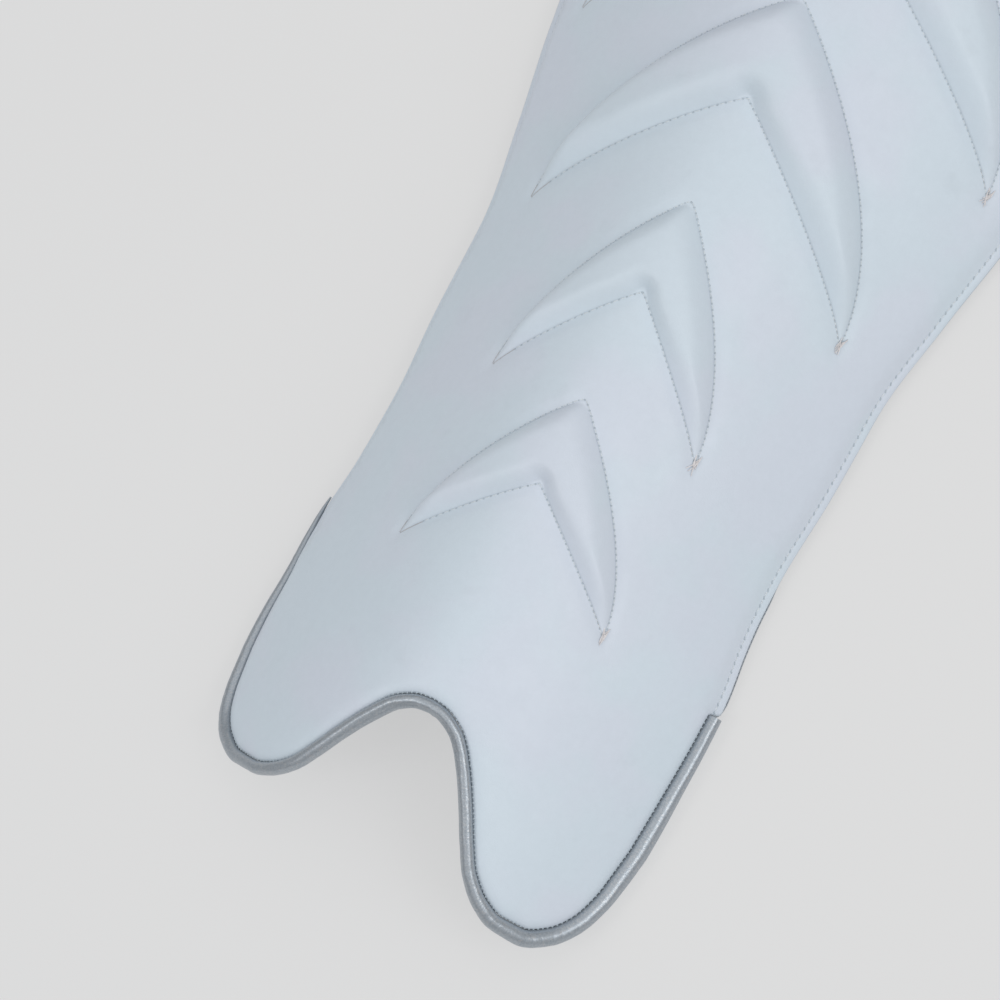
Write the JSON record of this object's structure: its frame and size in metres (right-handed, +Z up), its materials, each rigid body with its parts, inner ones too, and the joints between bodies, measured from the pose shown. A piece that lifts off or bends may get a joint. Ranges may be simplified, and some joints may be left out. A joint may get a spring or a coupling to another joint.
{
  "type": "wicket-keeping leg guard",
  "caption": "Padded half-tube leg guard with raised chevrons, an instep notch between two piped lobes, a textile lining and straps across its open back.",
  "frame": {"origin": "middle of the surface that the guard lies on, face up", "axes": "+X to the guard's right side as seen from its face, +Y from the instep to the knee, +Z up, out of the face"},
  "size_m": [0.2574, 0.6143, 0.0855],
  "materials": {
    "face_leather": "white coated leather, very fine grain, soft satin",
    "chevron_leather": "white coated leather over foam, stitched along both edges",
    "lining_cloth": "grey woven lining",
    "piping_leather": "silver metallic coated leather with a fine sparkle",
    "strap_webbing": "pale woven webbing"
  },
  "bodies": {
    "root": {"front_shell": "face_leather", "back_lining": "lining_cloth", "chevron_1": "chevron_leather", "chevron_2": "chevron_leather", "chevron_3": "chevron_leather", "chevron_4": "chevron_leather", "instep_piping": "piping_leather", "ankle_strap": "strap_webbing", "calf_strap": "strap_webbing", "knee_strap": "strap_webbing"}
  },
  "joints": []
}
